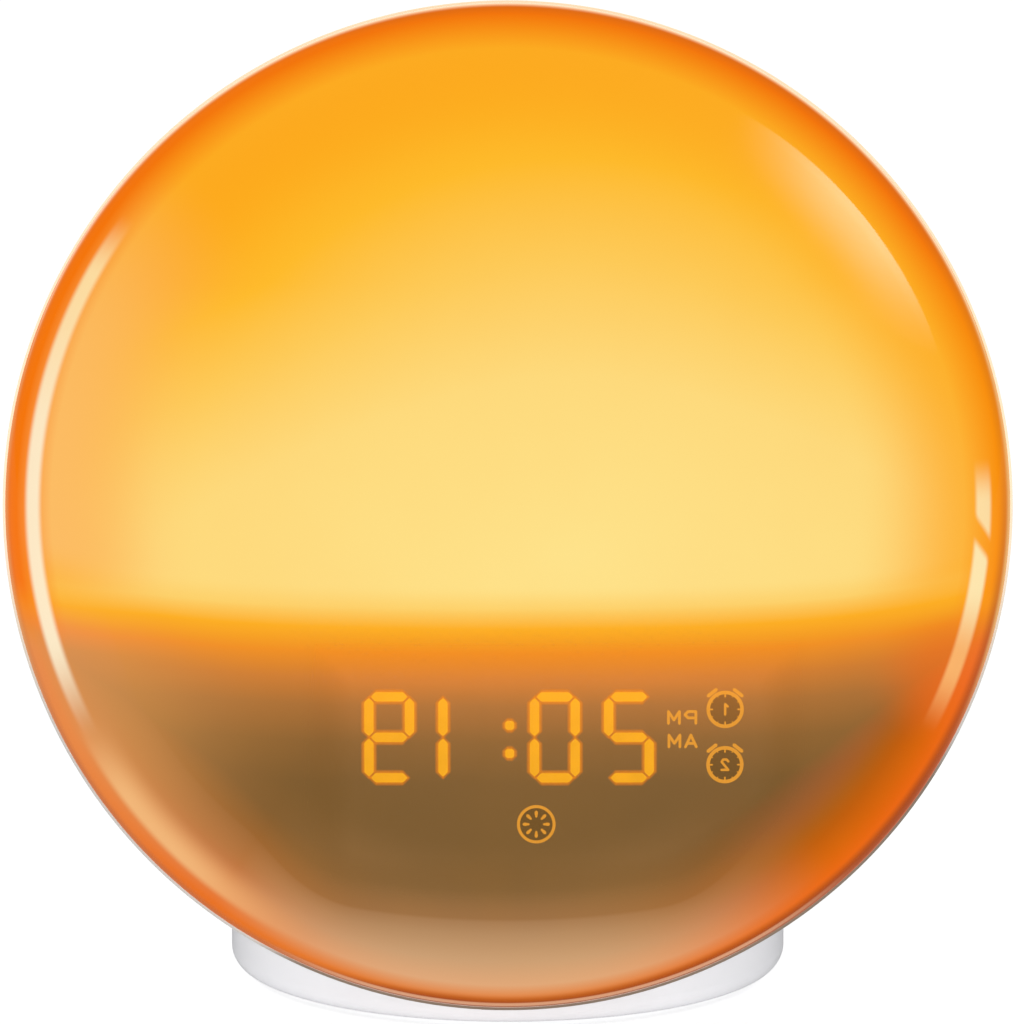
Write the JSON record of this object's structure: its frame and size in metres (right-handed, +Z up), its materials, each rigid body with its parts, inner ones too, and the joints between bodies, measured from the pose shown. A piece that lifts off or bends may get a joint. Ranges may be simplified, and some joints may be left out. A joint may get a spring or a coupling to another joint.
{
  "type": "sunrise alarm clock",
  "caption": "Round sunrise alarm clock: a glowing domed lens over a lamp and a segment display, a silver trim ring, a bowl-shaped rear shell with keys and speaker, on a round foot.",
  "frame": {"origin": "on the table, under the middle of the clock's box", "axes": "+X to the right as seen from the front, +Y from the face to the back, +Z up"},
  "size_m": [0.1776, 0.119, 0.1795],
  "materials": {
    "lens": "translucent, glossy, lit from within",
    "trim": "satin silver",
    "shell": "white, lightly polished",
    "foot": "white, lightly polished",
    "chassis": "moulded",
    "tray": "white reflector",
    "diffuser": "frosted sheet",
    "lamp_board": "white solder mask",
    "board": "green solder mask",
    "warm_led": "phosphor",
    "colour_led": "clear encapsulant",
    "mask": "smoked film",
    "segment_lit": "lit light guide",
    "segment_dark": "unlit light guide",
    "ribbon": "flat cable",
    "chip": "moulded package",
    "part": "moulded and sleeved parts",
    "screw": "zinc plated",
    "steel": "nickel plated",
    "magnet": "ferrite",
    "soft_black": "foam and rubber",
    "cone": "coated paper",
    "black_lead": "insulated lead",
    "red_lead": "insulated lead",
    "switch": "moulded switch",
    "key": "satin silver",
    "holder": "moulded",
    "contact": "spring brass",
    "rubber": "soft feet",
    "ballast": "plain steel plate"
  },
  "bodies": {
    "clock": {"front_lens": "lens", "trim_ring": "trim", "rear_shell": "shell", "chassis": "chassis", "light_tray": "tray", "diffuser_sheet": "diffuser", "lamp_board": "lamp_board", "warm_leds": "warm_led", "colour_leds": "colour_led", "lamp_leads": "red_lead", "display_mask": "mask", "display_block": "tray", "segments_lit": "segment_lit", "segments_dark": "segment_dark", "legend_guides": "segment_lit", "display_board": "board", "display_leds": "warm_led", "ribbons": "ribbon", "main_board": "board", "main_chips": "chip", "main_parts": "part", "board_screws": "screw", "speaker_basket": "steel", "speaker_magnet": "magnet", "speaker_surround": "soft_black", "speaker_gasket": "soft_black", "speaker_leads": "black_lead", "power_socket": "steel", "power_board": "board", "power_leads": "red_lead", "key_boards": "board", "key_switches": "switch", "battery_holder": "holder", "battery_contact": "contact", "coin_cell": "steel", "case_screws": "screw", "foot": "foot", "foot_plate": "foot", "foot_screws": "screw", "neck_screws": "screw", "rubber_feet": "rubber", "ballast": "ballast"},
    "left_key_1": {"left_key_1": "key", "left_plunger_1": "switch"},
    "left_key_2": {"left_key_2": "key", "left_plunger_2": "switch"},
    "left_key_3": {"left_key_3": "key", "left_plunger_3": "switch"},
    "right_key_1": {"right_key_1": "key", "right_plunger_1": "switch"},
    "right_key_2": {"right_key_2": "key", "right_plunger_2": "switch"},
    "right_key_3": {"right_key_3": "key", "right_plunger_3": "switch"},
    "snooze": {"snooze_key": "key", "snooze_plungers": "switch"},
    "cap": {"battery_cap": "shell"},
    "cone": {"speaker_cone": "cone", "speaker_dust_cap": "cone"}
  },
  "joints": [
    {"name": "left_key_1_press", "type": "slide", "parent": "clock", "child": "left_key_1", "axis": [1, 0, 0], "range_m": [0, 0.0005], "stiffness_N_per_m": 400},
    {"name": "left_key_2_press", "type": "slide", "parent": "clock", "child": "left_key_2", "axis": [1, 0, 0], "range_m": [0, 0.0005], "stiffness_N_per_m": 400},
    {"name": "left_key_3_press", "type": "slide", "parent": "clock", "child": "left_key_3", "axis": [1, 0, 0], "range_m": [0, 0.0005], "stiffness_N_per_m": 400},
    {"name": "right_key_1_press", "type": "slide", "parent": "clock", "child": "right_key_1", "axis": [-1, 0, 0], "range_m": [0, 0.0005], "stiffness_N_per_m": 400},
    {"name": "right_key_2_press", "type": "slide", "parent": "clock", "child": "right_key_2", "axis": [-1, 0, 0], "range_m": [0, 0.0005], "stiffness_N_per_m": 400},
    {"name": "right_key_3_press", "type": "slide", "parent": "clock", "child": "right_key_3", "axis": [-1, 0, 0], "range_m": [0, 0.0005], "stiffness_N_per_m": 400},
    {"name": "snooze_press", "type": "slide", "parent": "clock", "child": "snooze", "axis": [0, -0.1736, -0.9848], "range_m": [0, 0.0005], "stiffness_N_per_m": 600},
    {"name": "cap_turn", "type": "hinge", "parent": "clock", "child": "cap", "pos_m": [0, 0.01277, 0.06428], "axis": [0, 0.9848, -0.1736], "range_deg": [0, 45]},
    {"name": "cone_travel", "type": "slide", "parent": "clock", "child": "cone", "axis": [0, 0.9848, -0.1736], "range_m": [-0.0004, 0.0004], "stiffness_N_per_m": 1200}
  ]
}
